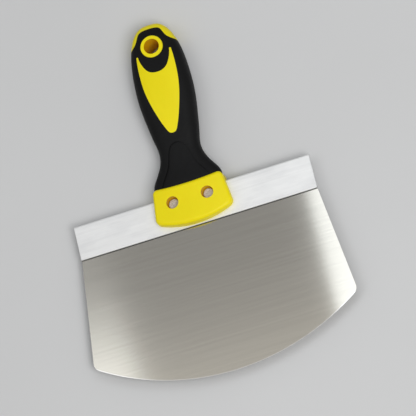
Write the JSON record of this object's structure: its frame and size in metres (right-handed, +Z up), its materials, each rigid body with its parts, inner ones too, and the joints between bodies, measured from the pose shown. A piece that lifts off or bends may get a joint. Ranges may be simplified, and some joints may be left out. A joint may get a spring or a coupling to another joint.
{
  "type": "drywall taping knife",
  "caption": "Wide taping knife with a bowed steel blade held in a folded aluminium bar, riveted to a moulded soft-grip handle with a hanging hole in the butt.",
  "frame": {"origin": "middle of the bottom of the box round the tool as it lies on its back, so z = 0 is the bench", "axes": "+X along the bar towards the right when seen from the front, +Y from the blade towards the butt of the handle, +Z up, square to the blade, the way the front of the tool faces"},
  "size_m": [0.1992, 0.2704, 0.0227],
  "materials": {
    "blade_steel": "brushed along the bar",
    "bar_aluminium": "satin, drawn along its length",
    "yellow_plastic": "semi-gloss moulded",
    "black_rubber": "fine matt grain",
    "rivet_metal": "dull plated"
  },
  "bodies": {
    "root": {"blade": "blade_steel", "back_bar": "bar_aluminium", "handle_core": "yellow_plastic", "grip_overmould": "black_rubber", "rivet_left": "rivet_metal", "rivet_right": "rivet_metal", "rivet_washer_left": "rivet_metal", "rivet_washer_right": "rivet_metal"}
  },
  "joints": []
}
